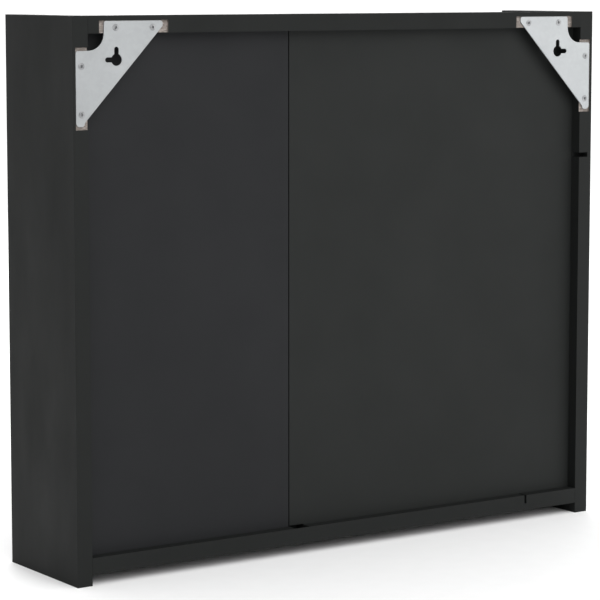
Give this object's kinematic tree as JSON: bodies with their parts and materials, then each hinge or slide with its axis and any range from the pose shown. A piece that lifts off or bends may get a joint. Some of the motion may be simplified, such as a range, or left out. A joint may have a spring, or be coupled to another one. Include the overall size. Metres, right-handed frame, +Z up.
{
  "type": "medicine cabinet with mirror",
  "caption": "Wall-hung bathroom medicine cabinet: black laminate boards, a mirror door on concealed hinges over a wide shelved bay, an open side bay, and keyhole hanging plates behind.",
  "frame": {"origin": "middle of the footprint, in the plane of the lower ends of the side panels", "axes": "+X to the right as seen from the front (the open bay is at +X), +Y towards the wall, +Z up"},
  "size_m": [0.7, 0.165, 0.6],
  "materials": {
    "laminate": "matt black melamine-faced chipboard with a fine grain",
    "backing": "matt black faced hardboard",
    "mirror": "silvered 3 mm float glass",
    "bracket_steel": "satin zinc-plated sheet steel",
    "nickel": "nickel-plated pressed steel",
    "screw_steel": "zinc-plated, satin",
    "zinc": "die-cast zinc, dull",
    "black_plastic": "fine moulded texture",
    "magnet": "ground ferrite",
    "silicone": "clear silicone",
    "raw_chipboard": "cut chipboard in the milled pockets"
  },
  "bodies": {
    "carcass": {"side_panel_left": "laminate", "side_panel_right": "laminate", "bottom_board": "laminate", "top_board": "laminate", "divider_panel": "laminate", "rear_rail": "laminate", "back_panel_wide": "backing", "back_panel_narrow": "backing", "shelf_wide_lower": "laminate", "shelf_wide_upper": "laminate", "shelf_narrow_lower": "laminate", "shelf_narrow_upper": "laminate", "shelf_pin_lower_1": "nickel", "shelf_pin_lower_2": "nickel", "shelf_pin_lower_3": "nickel", "shelf_pin_lower_4": "nickel", "shelf_pin_upper_1": "nickel", "shelf_pin_upper_2": "nickel", "shelf_pin_upper_3": "nickel", "shelf_pin_upper_4": "nickel", "cam_lock_top_1": "zinc", "cam_lock_top_2": "zinc", "cam_lock_top_3": "zinc", "cam_lock_top_4": "zinc", "cam_lock_bottom_1": "zinc", "cam_lock_bottom_2": "zinc", "cam_lock_bottom_3": "zinc", "cam_lock_bottom_4": "zinc", "hanging_bracket_left": "bracket_steel", "hanging_bracket_right": "bracket_steel", "bracket_screw_left_1": "screw_steel", "bracket_screw_left_2": "screw_steel", "bracket_screw_left_3": "screw_steel", "bracket_screw_left_4": "screw_steel", "bracket_screw_right_1": "screw_steel", "bracket_screw_right_2": "screw_steel", "bracket_screw_right_3": "screw_steel", "bracket_screw_right_4": "screw_steel", "hinge_arm_lower": "nickel", "hinge_arm_upper": "nickel", "hinge_plate_lower": "nickel", "hinge_plate_upper": "nickel", "hinge_arm_pin_lower": "screw_steel", "hinge_arm_pin_upper": "screw_steel", "catch_housing": "black_plastic", "catch_magnet": "magnet"},
    "door": {"door_panel": "laminate", "mirror": "mirror", "hinge_cup_lower": "nickel", "hinge_cup_upper": "nickel", "hinge_cup_pin_lower": "screw_steel", "hinge_cup_pin_upper": "screw_steel", "strike_plate": "nickel", "strike_screw": "screw_steel", "door_bumper_lower": "silicone", "door_bumper_upper": "silicone"},
    "hinge_link_lower": {"hinge_link_lower": "nickel"},
    "hinge_link_upper": {"hinge_link_upper": "nickel"}
  },
  "joints": [
    {"name": "door_hinge", "type": "hinge", "parent": "carcass", "child": "door", "pos_m": [-0.344, -0.0745, 0.3], "axis": [0, 0, -1], "range_deg": [0, 95]},
    {"name": "link_pivot_lower", "type": "hinge", "parent": "carcass", "child": "hinge_link_lower", "pos_m": [-0.327, -0.072, 0.093], "axis": [0, 0, -1], "range_deg": [-33, 0]},
    {"name": "link_pivot_upper", "type": "hinge", "parent": "carcass", "child": "hinge_link_upper", "pos_m": [-0.327, -0.072, 0.507], "axis": [0, 0, -1], "range_deg": [-33, 0]}
  ],
  "couplings": [
    {"joint": "link_pivot_lower", "follows": "door_hinge", "ratio": -0.3451},
    {"joint": "link_pivot_upper", "follows": "door_hinge", "ratio": -0.3451}
  ]
}
